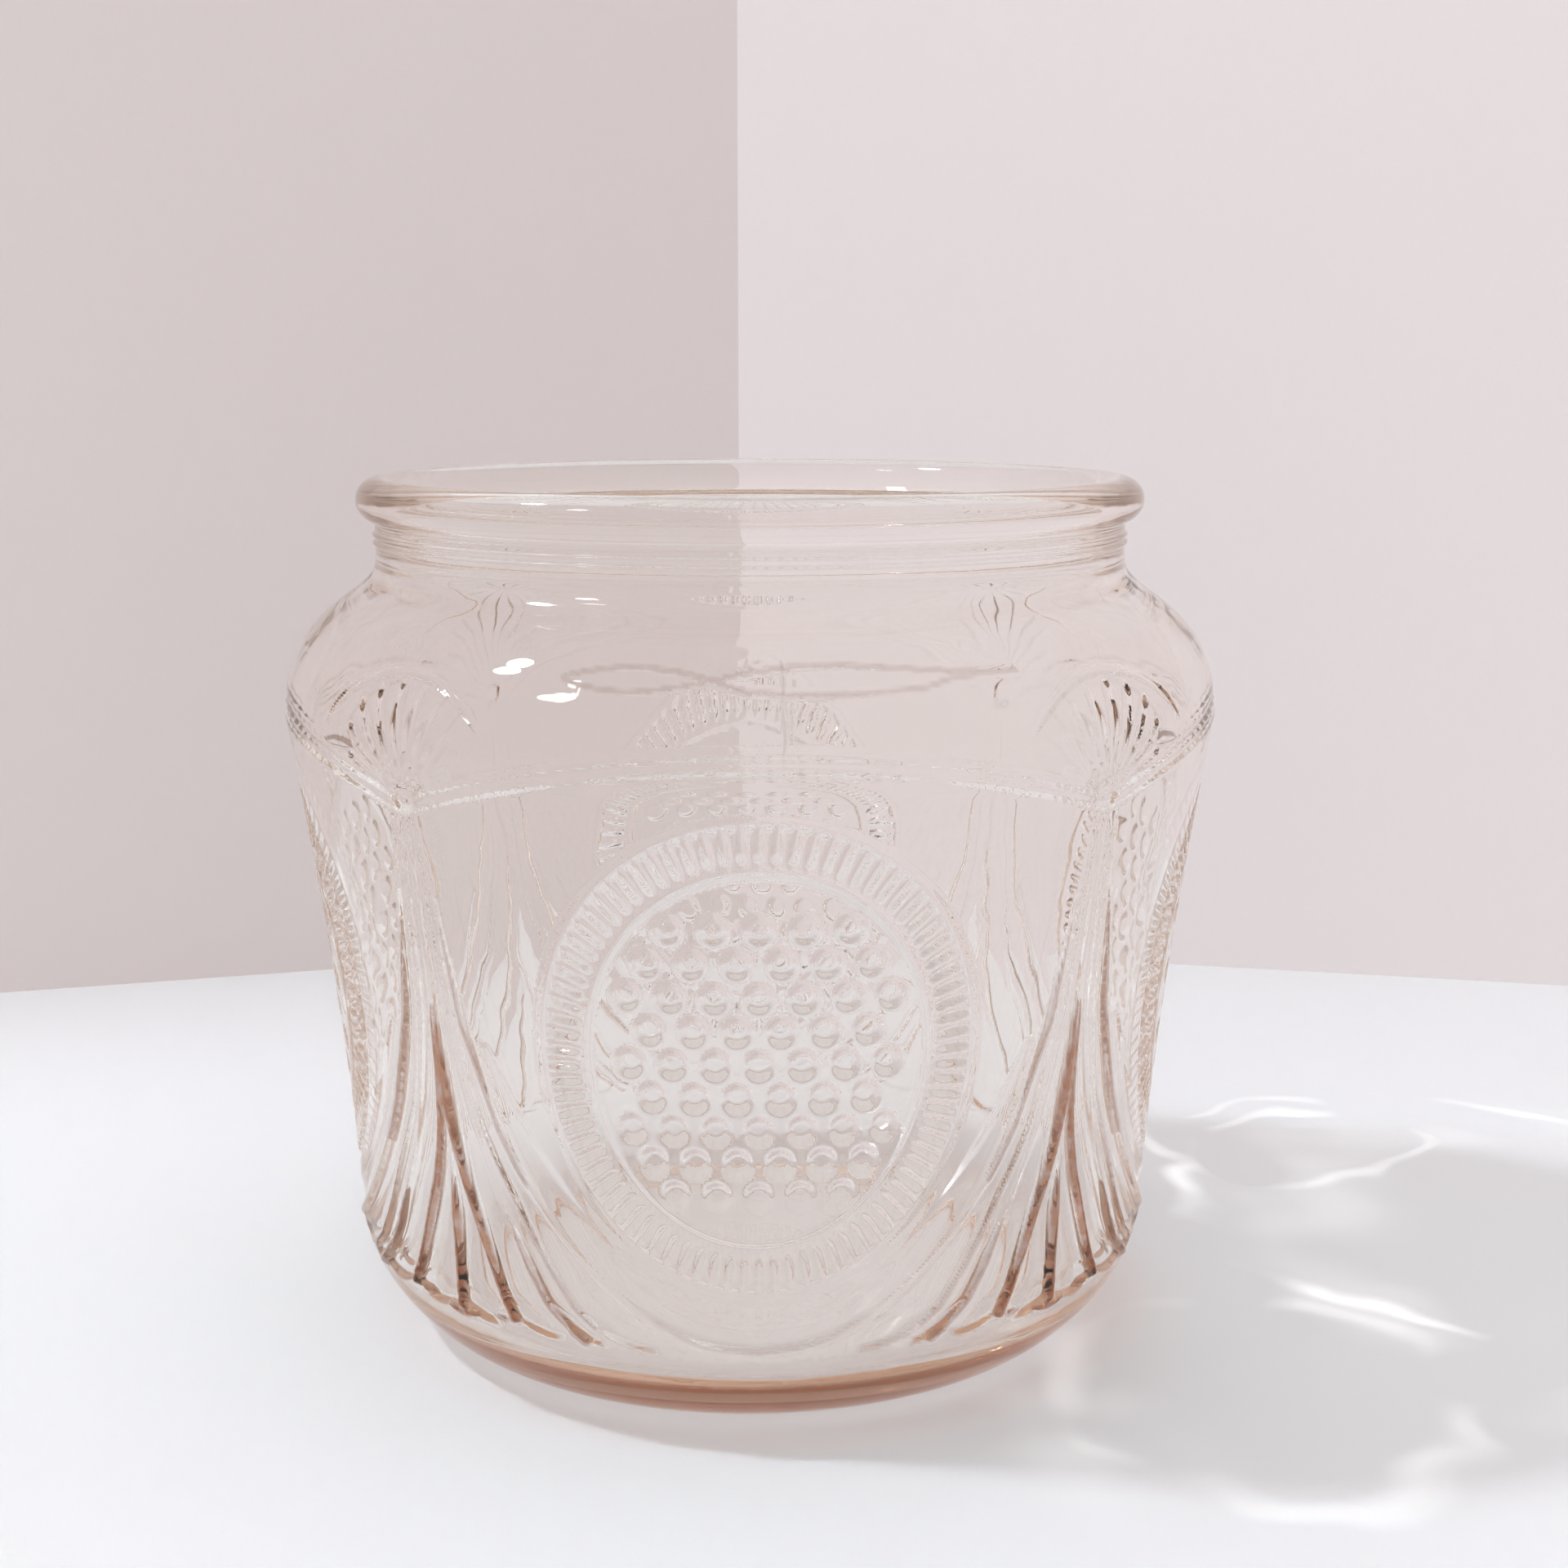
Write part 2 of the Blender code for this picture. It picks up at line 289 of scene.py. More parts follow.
# The panel's ornament is a plain one of no particular maker, worked out by formula, in mm on the half panel
OVAL_CENTRE = 58.0
OVAL_ACROSS = 31.0
OVAL_UP = 34.0
OVAL_BAND = 5.5  # from the outer ridge to the inner end of the bars
OVAL_BARS = 42
RIDGE_GAP = 1.2  # between a ridge of the oval and the ends of the bars
KNOB_RADIUS = 2.3
KNOB_PITCH = 6.0
KNOB_ROW = 4.8
KNOB_MARGIN = OVAL_BAND + 2 * RIDGE_GAP + KNOB_RADIUS  # from the outer ridge to the middles of the last knobs
ARCH_FOOT = 92.0
ARCH_RISE = 9.0
ARCH_REACH = 50.0
ARCH_PITCH = 1.8


def half_oval(inset):
    """Right half of the oval, from its foot to its top."""
    turns = np.linspace(-math.pi / 2, math.pi / 2, 17)
    return [((OVAL_ACROSS - inset) * math.cos(t), OVAL_CENTRE + (OVAL_UP - inset) * math.sin(t)) for t in turns]


def draw_oval(relief):
    """Two plain ridges with short bars between them."""
    relief.stroke(half_oval(0), 0.9, 0.5, ends=(1, 1))
    relief.bars(half_oval(RIDGE_GAP), half_oval(OVAL_BAND), OVAL_BARS, 0.75, 0.75)
    relief.stroke(half_oval(OVAL_BAND + RIDGE_GAP), 0.9, 0.5, ends=(1, 1))


def draw_knobs(relief):
    """A regular field of round knobs inside the oval, each row set half a step from the next."""
    field_across = OVAL_ACROSS - KNOB_MARGIN
    field_up = OVAL_UP - KNOB_MARGIN
    last_row = int(field_up // KNOB_ROW)
    for row in range(-last_row, last_row + 1):
        y = row * KNOB_ROW
        reach = field_across * math.sqrt(1 - (y / field_up) ** 2)
        start = KNOB_PITCH / 2 if row % 2 else 0.0
        for x in np.arange(start, reach + 0.001, KNOB_PITCH):
            relief.dome((x, OVAL_CENTRE + y), (KNOB_RADIUS, KNOB_RADIUS), 0.65)


def draw_arch(relief):
    """Two plain arched lines over the oval, from fan to fan."""
    for line in range(2):
        foot = ARCH_FOOT - line * ARCH_PITCH
        points = [(x, foot + ARCH_RISE * (1 - (x / ARCH_REACH) ** 2)) for x in np.linspace(0, ARCH_REACH, 9)]
        relief.stroke(points, 0.85, 0.33, ends=(1, 0.35))


# How far each line of the fan lies from the fan's middle, at each of these heights
FAN_HEIGHTS = (12, 15.5, 20, 25, 30, 35, 40, 45, 52, 60, 80, 92)
FAN_LINES = (
    (0, 0, 0, 0, 0, 0, 0, 0, 0, 0, 0, 0),
    (14.5, 11.8, 9.2, 7.1, 5.2, 3.3, 1.9, 1.0, 0.5, 0.4, 0.3, 0.2),
    (27.5, 23.3, 17.6, 14.5, 12.0, 9.5, 7.5, 5.8, 4.0, 2.6, 1.4, 0.9),
    (34.0, 28.5, 22.0, 18.4, 15.2, 12.5, 9.7, 7.3, 5.4, 4.0, 2.2, 1.4),
    (50.5, 38.0, 32.0, 26.0, 21.0, 16.8, 13.4, 10.8, 8.4, 5.8, 3.1, 2.0),
)
# The groove down each line: the heights it runs between, its half width, its depth and how much painted shade, the
# brown of light through thick glass, lies in it
FAN_GROOVES = (
    (16.4, 36, 1.35, 0.75, 0.8),
    (16.8, 62, 1.2, 0.8, 0.8),
    (15.4, 31, 1.05, 0.65, 0.55),
    (17.8, 46, 0.6, 0.4, 0.35),
    (38.0, 74, 0.95, 0.55, 0.5),
)
REED_HEIGHT = 0.48
REED_FULL_WIDTH = 4.5  # a reed narrower than this is lower


def draw_fan(relief):
    """Rounded reeds between the lines, and a groove down each line."""
    heights = np.array(FAN_HEIGHTS, float)
    lines = np.array([np.interp(relief.up, heights, line) for line in FAN_LINES])
    reeds = len(FAN_LINES) - 1
    away = HALF_PANEL - relief.across
    for row, y in enumerate(relief.up):
        if y > 91 or y < 12:
            continue
        edges = lines[:, row]
        place = np.interp(away, edges, np.arange(len(edges)), right=reeds)
        share = place - np.floor(place)
        width = np.append(np.diff(edges), 0)[np.floor(place).astype(int)]
        reed = np.sqrt(np.clip(1 - (2 * share - 1) ** 2, 0, 1)) * REED_HEIGHT * np.minimum(1, width / REED_FULL_WIDTH)
        foot = 14.6 + 2.2 * (1 - np.sin(math.pi * share))
        reed *= smoothstep((y - foot) / 1.0) * smoothstep((91 - y) / 6)
        relief.raised[row] = np.maximum(relief.raised[row], reed)
    # each groove carries painted shade, for the brown of light through thick glass
    for line, (foot, top, width, depth, stain) in zip(FAN_LINES, FAN_GROOVES):
        path = [(HALF_PANEL - np.interp(y, heights, line), y) for y in np.linspace(foot, top, 16)]
        relief.stroke(path, width, depth, ends=(0.9, 0.15), sunk=True, smooth=False, stain=stain)


def draw_flute(relief):
    """The broad round band that hangs in a U from fan to fan under the oval, with a groove at its foot."""
    relief.stroke([(47, 78), (44.8, 60), (42.3, 53), (37.6, 42), (29.8, 31), (20.5, 22.6), (10, 16.9), (0, 15.2)],
                  0.8, 0.4, ends=(0.3, 1), sunk=True)
    relief.stroke([(41, 57), (35.2, 44), (27.2, 33.4), (18.6, 25), (9, 19.4), (0, 17.9)], 2.3, 0.3, ends=(0.4, 1))
    # short grooves at the foot of the fan, with painted shade in them
    relief.stroke([(51.6, 14.7), (49.4, 15.0), (47.2, 15.4)], 0.7, 0.5, sunk=True, stain=0.8)
    relief.stroke([(44, 15.8), (42, 15.9), (40.8, 16.2)], 0.6, 0.4, sunk=True, stain=0.6)


def draw_upper_fan(relief):
    """A short upright fan of plain rays, at the end of the arches."""
    foot = (HALF_PANEL, 91.5)
    for angle, length in ((0, 16), (14, 15.6), (28, 14.6), (43, 12.8), (60, 10)):
        lean = math.radians(angle)
        tip = (foot[0] - length * math.sin(lean), foot[1] + length * math.cos(lean))
        start = (foot[0] - 3 * math.sin(lean), foot[1] + 3 * math.cos(lean))
        relief.stroke([start, tip], 1.1, 0.3, ends=(0.2, 0.7))
    relief.dome(foot, (2.2, 1.4), 0.45)
    rim = [(foot[0] - 17.6 * math.sin(a), foot[1] + 17.6 * math.cos(a)) for a in np.radians((0, 15, 30, 45, 58))]
    relief.stroke(rim, 0.7, 0.25, ends=(1, 0.3))


def draw_panel(relief):
    draw_fan(relief)
    draw_flute(relief)
    draw_upper_fan(relief)
    draw_arch(relief)
    draw_oval(relief)
    draw_knobs(relief)


def panel_across(angles):
    """x on the half panel for each angle, which is measured from the middle of the front panel."""
    from_front = np.abs((angles + math.pi / 2) % math.pi - math.pi / 2)
    side_half = math.pi / 2 - FAN_OFFSET
    on_front = from_front <= FAN_OFFSET
    return np.where(on_front, from_front / FAN_OFFSET, (math.pi / 2 - from_front) / side_half) * HALF_PANEL


def mould_marks(signed, up):
    """Thin seams left by the mould: one up the front and the back, and a loop on the front of the shoulder, with
    painted shade along the loop.
    """
    marks = np.zeros((len(up), len(signed)))
    for middle in (math.radians(2.9), math.pi + math.radians(2.9)):
        away = (signed[None, :] - middle + math.pi) % math.tau - math.pi
        away = away * 70 + 0.12 * np.sin(up[:, None] * 0.9)
        marks += 0.10 * smoothstep(1 - np.abs(away) / 0.5) * smoothstep((up[:, None] - 96) / 6)
    seams = Relief(signed * 66, up)
    for loop in ([(-5.6, 110.1), (-11, 111.2), (-18, 111.4), (-25, 110), (-18, 108.6), (-12, 109), (-5.6, 110.1)],
                 [(-5.6, 110.1), (0, 111.2), (8, 111.9), (18, 111.2), (27, 110.5), (35, 110.2)],
                 [(-5.6, 110.1), (0, 108.7), (10, 108.5), (20, 108.7), (25, 109.7), (29, 110), (35, 110.2)]):
        # the loop's lines carry painted shade
        seams.stroke(loop, 0.42, 0.16, ends=(1, 0.7), stain=SEAM_PAINTED_SHADE)
    return marks + seams.raised, seams.painted_shade_field


# ---------------------------------------------------------------- the skin

def outward(line):
    """Unit vectors across the line, to its left as it runs."""
    along = np.gradient(line, axis=0)
    along /= np.hypot(along[:, 0], along[:, 1])[:, None]
    return np.stack([-along[:, 1], along[:, 0]], 1)


def ring_points(line, columns):
    angles = math.tau * np.arange(columns) / columns
    r, z = line[:, :1], line[:, 1:]
    return np.stack([r * np.sin(angles), -r * np.cos(angles), z + 0 * angles], -1)


def relief_rings(line):
    """The wall's points with the relief on them, and the painted shade at each point."""
    angles = math.tau * np.arange(FINE_COLUMNS) / FINE_COLUMNS
    signed = (angles + math.pi) % math.tau - math.pi
    up = line[:, 1] / MM
    relief = Relief(panel_across(signed), up)
    draw_panel(relief)
    marks, mark_stains = mould_marks(signed, up)
    height = relief.raised * RELIEF_BOLDNESS - relief.sunk + marks
    height *= smoothstep((up - up.min()) / 2)[:, None] * smoothstep((up.max() - up) / 2)[:, None]
    away = -outward(line)
    r = line[:, :1] + away[:, :1] * height * MM
    z = line[:, 1:] + away[:, 1:] * height * MM
    r = np.minimum(r, BODY_RADIUS - 0.00001)
    return np.stack([r * np.sin(angles), -r * np.cos(angles), z + 0 * angles], -1), np.maximum(relief.painted_shade_field, mark_stains)


def plain_rings(line, stain=None):
    """Rings with no relief, and how much painted shade is at each of their points."""
    depth = np.zeros(len(line)) if stain is None else stain
    return ring_points(line, COARSE_COLUMNS), np.repeat(depth[:, None], COARSE_COLUMNS, axis=1)


def build_skin():
    """Rings of points from the rim's crest down the outside, in under the foot and up the inside."""
    whole = outside_line()
    top = whole[whole[:, 1] > RELIEF_TOP]
    wall = whole[(whole[:, 1] <= RELIEF_TOP) & (whole[:, 1] >= RELIEF_BOTTOM)]
    heel = whole[whole[:, 1] < RELIEF_BOTTOM]
    rest = np.vstack([heel, underside_line()])
    # painted shade on the heel's thick edge, for the brown of light through deep glass, lighter below the foot height
    low = smoothstep((HEEL_PAINTED_SHADE_TOP - rest[:, 1]) / HEEL_PAINTED_SHADE_FADE) * smoothstep((rest[:, 0] - 0.040) / 0.005)
    low *= np.where(rest[:, 1] < HEEL_PAINTED_SHADE_FOOT, 0.45, 1.0)
    outer = [plain_rings(top), relief_rings(evenly(wall, ROW_STEP)), plain_rings(rest, low)]
    return outer, plain_rings(inside_line())


class Mesher:
    def __init__(self):
        self.points, self.stains, self.count = [], [], 0

    def add_rings(self, rings, stains):
        first = self.count
        rows, columns = rings.shape[:2]
        self.points.append(rings.reshape(-1, 3))
        # painted shade for each point
        self.stains.append(stains.ravel())
        self.count += rows * columns
        return first + np.arange(rows * columns).reshape(rows, columns)


def jar_mesh():
    outer, inside = build_skin()
    mesher = Mesher()
    bands = [mesher.add_rings(*band) for band in outer]
    inner = mesher.add_rings(*inside)
    axis_low = mesher.count
    mesher.points.append(np.array([[0, 0, RECESS_DEPTH], [0, 0, FLOOR_Z]]))
    mesher.stains.append(np.zeros(2))
    points = np.vstack(mesher.points)
    all_rings = [ring for band in bands for ring in band]
    v_of, run = [], 0.0
    last = points[all_rings[0][0]]
    for ring in all_rings + list(inner):
        here = points[ring[0]]
        run += float(np.linalg.norm(here - last))
        v_of.append(run)
        last = here
    total = run + 0.01
    faces, uvs = [], []

    def join(upper, lower, v0, v1):
        columns = max(len(upper), len(lower))
        if len(upper) == len(lower):
            nxt = np.roll(np.arange(columns), -1)
            for i in range(columns):
                j = nxt[i]
                faces.append((upper[i], lower[i], lower[j], upper[j]))
                a, b = i / columns, (i + 1) / columns
                uvs.extend(((a, v0), (a, v1), (b, v1), (b, v0)))
            return
        coarse, fine, turned = (upper, lower, False) if len(upper) < len(lower) else (lower, upper, True)
        ratio = len(fine) // len(coarse)
        vc, vf = (v1, v0) if turned else (v0, v1)
        for i in range(len(coarse)):
            j = (i + 1) % len(coarse)
            along = [(i * ratio + k) % len(fine) for k in range(ratio + 1)]
            loop = [coarse[i]] + [fine[k] for k in along] + [coarse[j]]
            spots = [(i / len(coarse), vc)]
            spots += [((i * ratio + k) / len(fine), vf) for k in range(ratio + 1)]
            spots += [((i + 1) / len(coarse), vc)]
            if turned:
                loop, spots = loop[::-1], spots[::-1]
            faces.append(tuple(loop))
            uvs.extend(spots)

    vs = [v / total for v in v_of]
    for k in range(len(all_rings) - 1):
        join(all_rings[k], all_rings[k + 1], 1 - vs[k], 1 - vs[k + 1])
    centre = len(all_rings) - 1
    ring = all_rings[-1]
    for i in range(COARSE_COLUMNS):
        j = (i + 1) % COARSE_COLUMNS
        faces.append((ring[i], axis_low, ring[j]))
        a, b = i / COARSE_COLUMNS, (i + 1) / COARSE_COLUMNS
        uvs.extend(((a, 1 - vs[centre]), ((a + b) / 2, 1 - vs[centre] - 0.002), (b, 1 - vs[centre])))
    base = len(all_rings)
    ring = inner[0]
    for i in range(COARSE_COLUMNS):
        j = (i + 1) % COARSE_COLUMNS
        faces.append((axis_low + 1, ring[i], ring[j]))
        a, b = i / COARSE_COLUMNS, (i + 1) / COARSE_COLUMNS
        uvs.extend((((a + b) / 2, 1 - vs[base] + 0.002), (a, 1 - vs[base]), (b, 1 - vs[base])))
    for k in range(len(inner) - 1):
        join(inner[k], inner[k + 1], 1 - vs[base + k], 1 - vs[base + k + 1])
    join(inner[-1], all_rings[0], 1 - vs[-1], 0.001)
    mesh = bpy.data.meshes.new("pressed_glass_jar")
    mesh.from_pydata(points.tolist(), [], [tuple(int(i) for i in f) for f in faces])
    layer = mesh.uv_layers.new(name="OFBake")
    layer.data.foreach_set("uv", np.array(uvs, np.float32).ravel())
    # painted shade, kept as a point attribute for the glass
    stain = mesh.attributes.new("stain", "FLOAT", "POINT")
    stain.data.foreach_set("value", np.concatenate(mesher.stains).astype(np.float32))
    mesh.shade_smooth()
    mesh.update()
    return mesh


# ---------------------------------------------------------------- materials

def new_material(name):
    material = bpy.data.materials.new(name)
    material.use_nodes = True
    tree = material.node_tree
    return material, tree.nodes, tree.links, tree.nodes["Principled BSDF"]


def noise_of(nodes, links, scale, detail, source):
    noise = nodes.new("ShaderNodeTexNoise")
    noise.inputs["Scale"].default_value = scale
    noise.inputs["Detail"].default_value = detail
    links.new(source, noise.inputs["Vector"])
    return noise.outputs["Fac"]


def ramp_of(nodes, links, source, low, high):
    ramp = nodes.new("ShaderNodeMapRange")
    links.new(source, ramp.inputs["Value"])
    ramp.inputs["To Min"].default_value = low
    ramp.inputs["To Max"].default_value = high
    return ramp.outputs["Result"]


# Painted shade: the brown that light takes on through thick glass, painted into the grooves and at the heel's edge
PAINTED_DEEP_SHADE = (0.30, 0.10, 0.045, 1)  # in the grooves and at the heel's edge, where the glass looks brown


def pink_glass():
    """Pale pink pressed glass: the tint is in its depth, with a faint unevenness from the mould, and painted shade, the
    brown of light through thick glass, in the grooves and at the heel's edge, shown only on faces hit from outside.
    """
    material, nodes, links, shader = new_material("pink_glass")
    place = nodes.new("ShaderNodeTexCoord").outputs["Object"]
    tint = nodes.new("ShaderNodeValToRGB")
    tint.color_ramp.elements[0].position = 0.3
    tint.color_ramp.elements[0].color = (1.0, 0.985, 0.975, 1)
    tint.color_ramp.elements[1].position = 0.7
    tint.color_ramp.elements[1].color = (1.0, 0.995, 0.99, 1)
    links.new(noise_of(nodes, links, 45, 2, place), tint.inputs["Fac"])
    # painted shade from the point attribute, broken by fine noise, shown only on faces hit from outside and mixed
    # towards the deep brown
    stain = nodes.new("ShaderNodeAttribute")
    stain.attribute_name = "stain"
    entering = nodes.new("ShaderNodeMath")
    entering.operation = "SUBTRACT"
    entering.inputs[0].default_value = 1
    links.new(nodes.new("ShaderNodeNewGeometry").outputs["Backfacing"], entering.inputs[1])
    uneven = nodes.new("ShaderNodeMath")
    uneven.operation = "MULTIPLY"
    links.new(stain.outputs["Fac"], uneven.inputs[0])
    links.new(ramp_of(nodes, links, noise_of(nodes, links, 700, 3, place), 0.7, 1.7), uneven.inputs[1])
    shown = nodes.new("ShaderNodeMath")
    shown.operation = "MULTIPLY"
    links.new(uneven.outputs["Value"], shown.inputs[0])
    links.new(entering.outputs["Value"], shown.inputs[1])
    deep = nodes.new("ShaderNodeMix")
    deep.data_type = "RGBA"
    links.new(shown.outputs["Value"], deep.inputs["Factor"])
    links.new(tint.outputs["Color"], deep.inputs["A"])
    deep.inputs["B"].default_value = PAINTED_DEEP_SHADE
    links.new(deep.outputs["Result"], shader.inputs["Base Color"])
    links.new(ramp_of(nodes, links, noise_of(nodes, links, 120, 3, place), 0.0, 0.02), shader.inputs["Roughness"])
    shader.inputs["Transmission Weight"].default_value = 1
    shader.inputs["IOR"].default_value = 1.5
    bump = nodes.new("ShaderNodeBump")
    bump.inputs["Strength"].default_value = 0.25
    bump.inputs["Distance"].default_value = 0.0004
    links.new(noise_of(nodes, links, 70, 2, place), bump.inputs["Height"])
    links.new(bump.outputs["Normal"], shader.inputs["Normal"])
    depth = nodes.new("ShaderNodeVolumeAbsorption")
    depth.inputs["Color"].default_value = (0.75, 0.467, 0.20, 1)
    depth.inputs["Density"].default_value = 9.5
    links.new(depth.outputs["Volume"], nodes["Material Output"].inputs["Volume"])
    return material


def painted_caustics_of(nodes, links, place):
    """Painted light glowing from the table beside the jar: broken, wavering arcs that stand for light the jar bends,
    and soft glows. Each is a centre, radius and width.
    """
    noise = nodes.new("ShaderNodeTexNoise")
    noise.inputs["Scale"].default_value = 22
    noise.inputs["Detail"].default_value = 2
    links.new(place, noise.inputs["Vector"])
    warp = nodes.new("ShaderNodeVectorMath")
    warp.operation = "MULTIPLY_ADD"
    links.new(noise.outputs["Color"], warp.inputs[0])
    warp.inputs[1].default_value = (0.05, 0.05, 0)
    links.new(place, warp.inputs[2])
    total = None
    for centre, radius, width, strength in PAINTED_CAUSTICS:
        away = nodes.new("ShaderNodeVectorMath")
        away.operation = "DISTANCE"
        links.new(warp.outputs["Vector"], away.inputs[0])
        away.inputs[1].default_value = (centre[0] + 0.025, centre[1] + 0.025, TABLE_Z)
        off = nodes.new("ShaderNodeMath")
        off.operation = "SUBTRACT"
        links.new(away.outputs["Value"], off.inputs[0])
        off.inputs[1].default_value = radius
        size = nodes.new("ShaderNodeMath")
        size.operation = "ABSOLUTE"
        links.new(off.outputs["Value"], size.inputs[0])
        pulse = nodes.new("ShaderNodeMapRange")
        pulse.interpolation_type = "SMOOTHSTEP"
        pulse.inputs["From Max"].default_value = width
        pulse.inputs["To Min"].default_value = strength
        pulse.inputs["To Max"].default_value = 0
        links.new(size.outputs["Value"], pulse.inputs["Value"])
        if total is None:
            total = pulse.outputs["Result"]
            continue
        both = nodes.new("ShaderNodeMath")
        links.new(total, both.inputs[0])
        links.new(pulse.outputs["Result"], both.inputs[1])
        total = both.outputs["Value"]
    broken = nodes.new("ShaderNodeMapRange")
    broken.inputs["From Min"].default_value = 0.42
    broken.inputs["From Max"].default_value = 0.6
    links.new(noise_of(nodes, links, 30, 1, place), broken.inputs["Value"])
    shown = nodes.new("ShaderNodeMath")
    shown.operation = "MULTIPLY"
    links.new(total, shown.inputs[0])
    links.new(broken.outputs["Result"], shown.inputs[1])
    return shown.outputs["Value"]


# Painted light on the table beside the jar, arcs and soft glows that stand for light the jar bends: centre, radius and
# width in metres, and strength
PAINTED_CAUSTICS = (
    ((0.130, 0.028), 0.054, 0.004, 0.30),
    ((0.105, 0.066), 0.024, 0.003, 0.25),
    ((0.150, 0.010), 0.060, 0.016, 0.10),
    ((0.075, -0.045), 0.030, 0.006, 0.16),
    ((0.045, -0.058), 0.0, 0.030, 0.14),
    ((0.095, 0.045), 0.0, 0.035, 0.08),
)


def card(name, colour, one_sided):
    """Matt card or paint with a very faint mottling. One-sided card is clear from behind."""
    material, nodes, links, shader = new_material(name)
    place = nodes.new("ShaderNodeTexCoord").outputs["Object"]
    tint = nodes.new("ShaderNodeValToRGB")
    tint.color_ramp.elements[0].color = (*[0.985 * c for c in colour], 1)
    tint.color_ramp.elements[1].color = (*colour, 1)
    links.new(noise_of(nodes, links, 6, 2, place), tint.inputs["Fac"])
    links.new(tint.outputs["Color"], shader.inputs["Base Color"])
    shader.inputs["Roughness"].default_value = 0.75
    shader.inputs["Specular IOR Level"].default_value = 0.2
    if one_sided:
        facing = nodes.new("ShaderNodeNewGeometry").outputs["Backfacing"]
        clear = nodes.new("ShaderNodeBsdfTransparent").outputs["BSDF"]
        mix = nodes.new("ShaderNodeMixShader")
        links.new(facing, mix.inputs["Fac"])
        links.new(shader.outputs["BSDF"], mix.inputs[1])
        links.new(clear, mix.inputs[2])
        links.new(mix.outputs["Shader"], nodes["Material Output"].inputs["Surface"])
    return material


# ---------------------------------------------------------------- stage, lights and camera

def sheet_object(name, corners, material):
    mesh = bpy.data.meshes.new(name)
    mesh.from_pydata([tuple(c) for c in corners], [], [(0, 1, 2, 3)])
    mesh.materials.append(material)
    obj = bpy.data.objects.new(name, mesh)
    bpy.context.scene.collection.objects.link(obj)
    return obj


def build_stage():
    top = card("white_table_painted_caustics", (0.86, 0.886, 0.905), False)
    nodes, links = top.node_tree.nodes, top.node_tree.links
    place = nodes.new("ShaderNodeTexCoord").outputs["Object"]
    shader = nodes["Principled BSDF"]
    # painted light: the table glows with the painted caustics beside the jar
    links.new(painted_caustics_of(nodes, links, place), shader.inputs["Emission Strength"])
    shader.inputs["Emission Color"].default_value = (1, 1, 1, 1)
    table = sheet_object("table", ((-1.5, -1.5, TABLE_Z), (1.5, -1.5, TABLE_Z), (1.5, 1.5, TABLE_Z), (-1.5, 1.5, TABLE_Z)),
                         top)
    corner = (0.0, 0.2245)
    # The two walls stand for one pale card: the left one's darker colour is painted shade for the less light it gets.
    for name, far, colour, flip in (("left_wall", (-0.60, 0.073), (0.81, 0.745, 0.737), False),
                                    ("right_wall", (0.60, 0.077), (0.911, 0.856, 0.862), True)):
        lower = [(far[0], far[1], TABLE_Z), (corner[0], corner[1], TABLE_Z)]
        if flip:
            lower = lower[::-1]
        upper = [(x, y, 0.9) for x, y, _ in lower[::-1]]
        sheet_object(name, lower + upper, card(name + "_card_tone", colour, True))
    return table


def lamp(name, direction, distance, size, watts, colour, through=None):
    """A round lamp aimed at the origin. Its light goes through the object named by through as if it weren't there."""
    data = bpy.data.lights.new(name, "AREA")
    data.shape = "DISK"
    data.size = size
    data.energy = watts
    data.color = colour
    obj = bpy.data.objects.new(name, data)
    away = Vector(direction).normalized()
    obj.location = away * distance
    obj.rotation_euler = away.to_track_quat("Z", "Y").to_euler()
    bpy.context.scene.collection.objects.link(obj)
    if through:
        let_through(obj, through)
    return obj


def let_through(obj, glass):
    """Glass stops a lamp's straight rays, so this lamp isn't blocked by it."""
    clear = bpy.data.collections.new(obj.name + "_clear")
    clear.objects.link(glass)
    clear.collection_objects[0].light_linking.link_state = "EXCLUDE"
    obj.light_linking.blocker_collection = clear


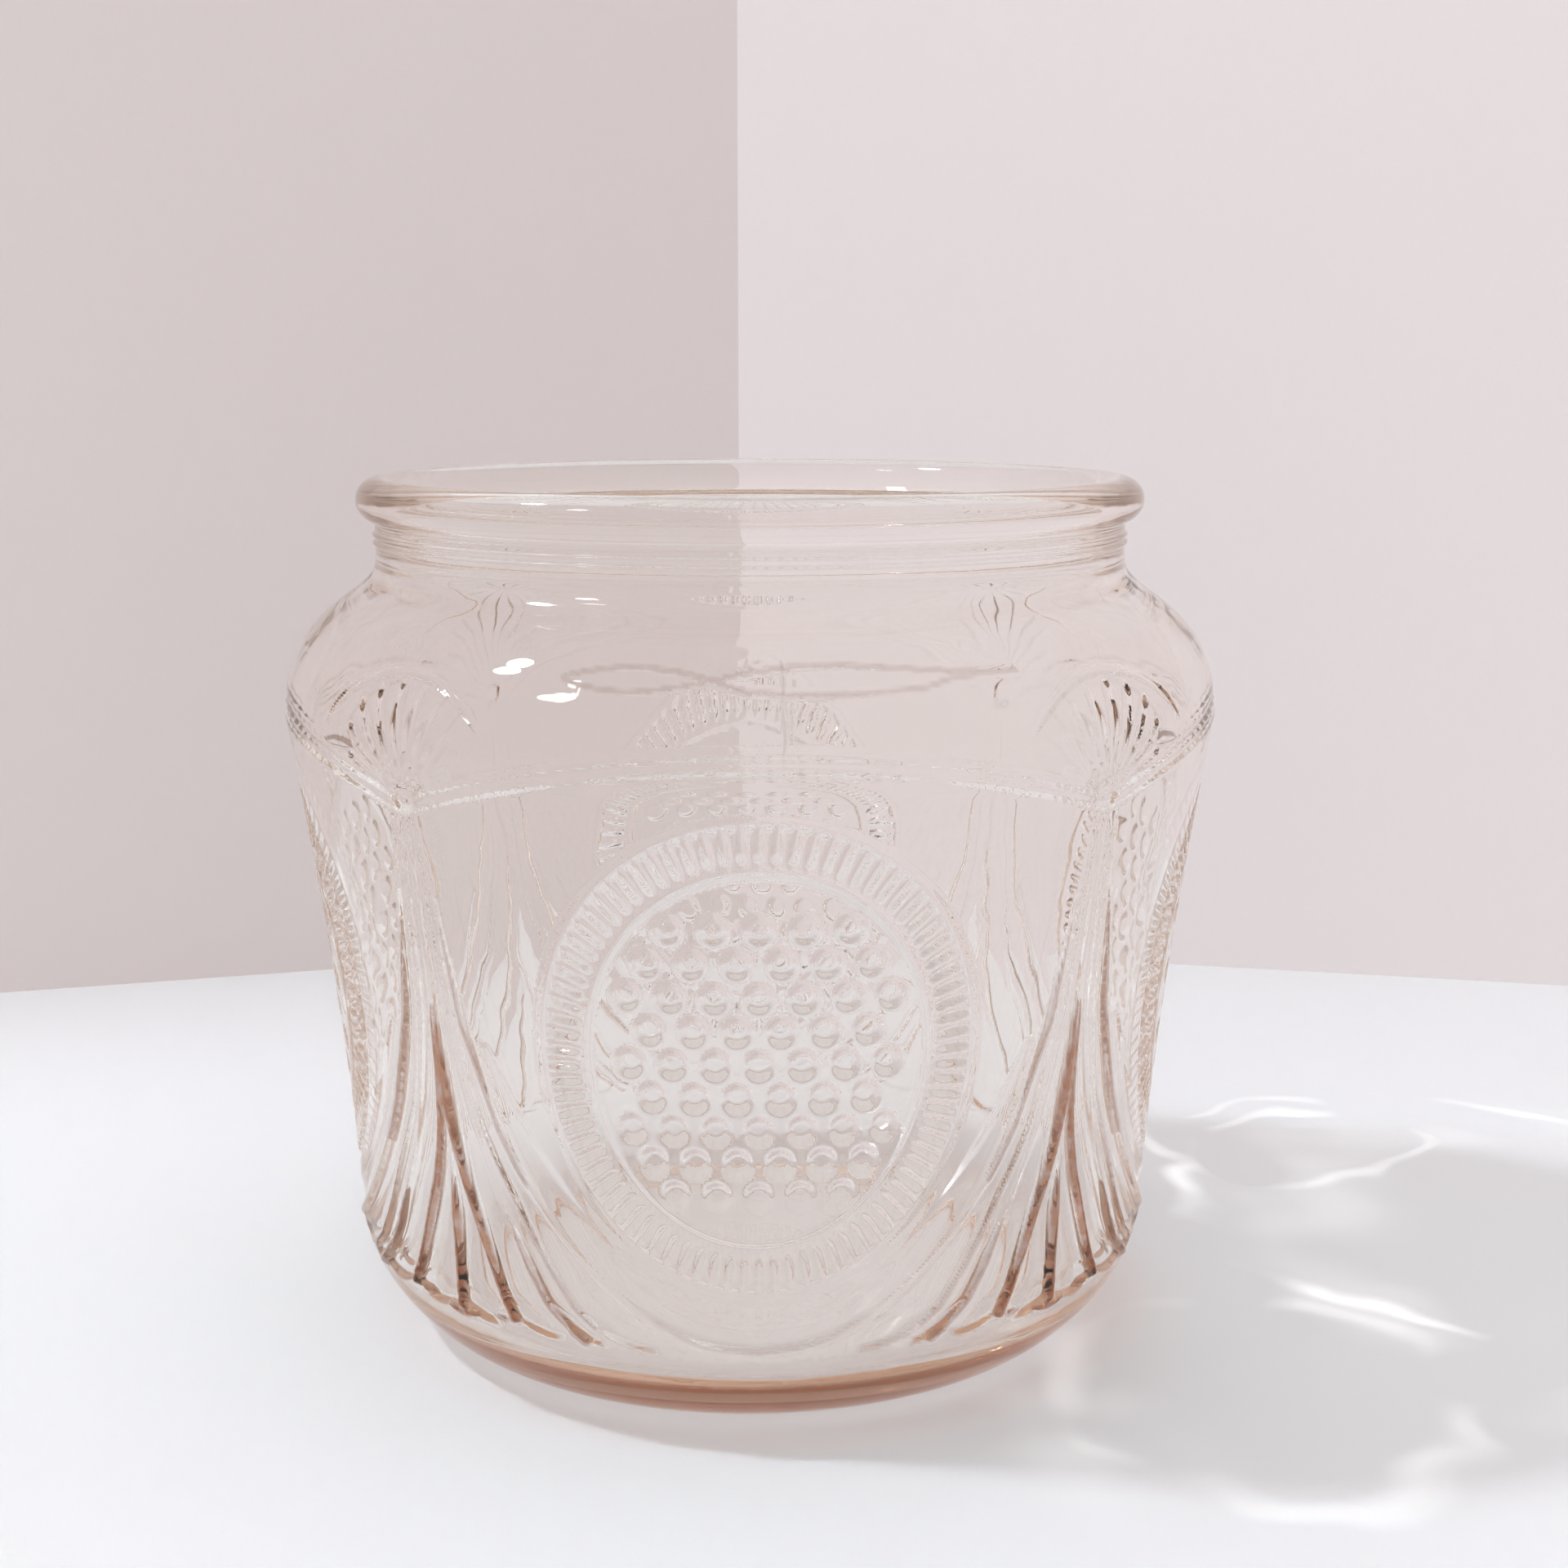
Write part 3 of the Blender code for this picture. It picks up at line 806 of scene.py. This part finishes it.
def well_light(glass, table):
    """What comes in by the jar's mouth and lights the table through its floor."""
    data = bpy.data.lights.new("well_light", "SPOT")
    height = 1.0
    data.energy = 14.0
    data.color = (1.0, 0.93, 0.92)
    data.shadow_soft_size = 0.01
    data.spot_size = 2 * math.atan(0.062 / height)
    data.spot_blend = 0.35
    obj = bpy.data.objects.new("well_light", data)
    obj.location = (0, 0, height)
    bpy.context.scene.collection.objects.link(obj)
    let_through(obj, glass)
    lit = bpy.data.collections.new("well_lit")
    lit.objects.link(table)
    obj.light_linking.receiver_collection = lit


def build_lights(glass, table):
    lamp("lamp_left", (-0.75, -0.01, 1.0), 1.6, 0.16, 4.3, (0.89, 1.0, 1.04))
    lamp("lamp_left_soft", (-0.75, -0.01, 1.0), 1.6, 0.16, 0.5, (1.0, 0.90, 0.86), glass)
    lamp("lamp_front_left", (-0.9, -0.59, 1.0), 1.6, 0.16, 0.42, (0.97, 1.0, 1.0))
    lamp("lamp_front_left_soft", (-0.9, -0.59, 1.0), 1.6, 0.16, 0.7, (1.0, 0.98, 0.97), glass)
    well_light(glass, table)
    world = bpy.data.worlds.new("studio")
    world.use_nodes = True
    back = world.node_tree.nodes["Background"]
    back.inputs["Color"].default_value = (0.96, 0.915, 0.91, 1)
    back.inputs["Strength"].default_value = 0.88
    bpy.context.scene.world = world


def build_camera():
    data = bpy.data.cameras.new("camera")
    data.sensor_width = 36
    data.lens = 52.15
    data.clip_start = 0.01
    obj = bpy.data.objects.new("camera", data)
    turn = Matrix.Rotation(math.radians(-1.6), 4, "Z")
    place = Matrix.Translation((0.0052, -0.357, 0.1506))
    tilt = Euler((math.radians(90 - 10.59), 0, 0)).to_matrix().to_4x4()
    obj.matrix_world = turn @ place @ tilt
    bpy.context.scene.collection.objects.link(obj)
    bpy.context.scene.camera = obj


def build_jar():
    obj = bpy.data.objects.new("pressed_glass_jar", jar_mesh())
    obj.data.materials.append(pink_glass())
    bpy.context.scene.collection.objects.link(obj)
    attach(obj, "root")
    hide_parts("glass_jar")
    return obj


def set_look():
    scene = bpy.context.scene
    scene.view_settings.view_transform = "Standard"
    scene.view_settings.look = "None"
    scene.cycles.max_bounces = 48
    scene.cycles.transmission_bounces = 48
    scene.cycles.glossy_bounces = 24
    scene.cycles.diffuse_bounces = 6
    scene.cycles.sample_clamp_indirect = 10


jar = build_jar()
table = build_stage()
build_lights(jar, table)
build_camera()
set_look()
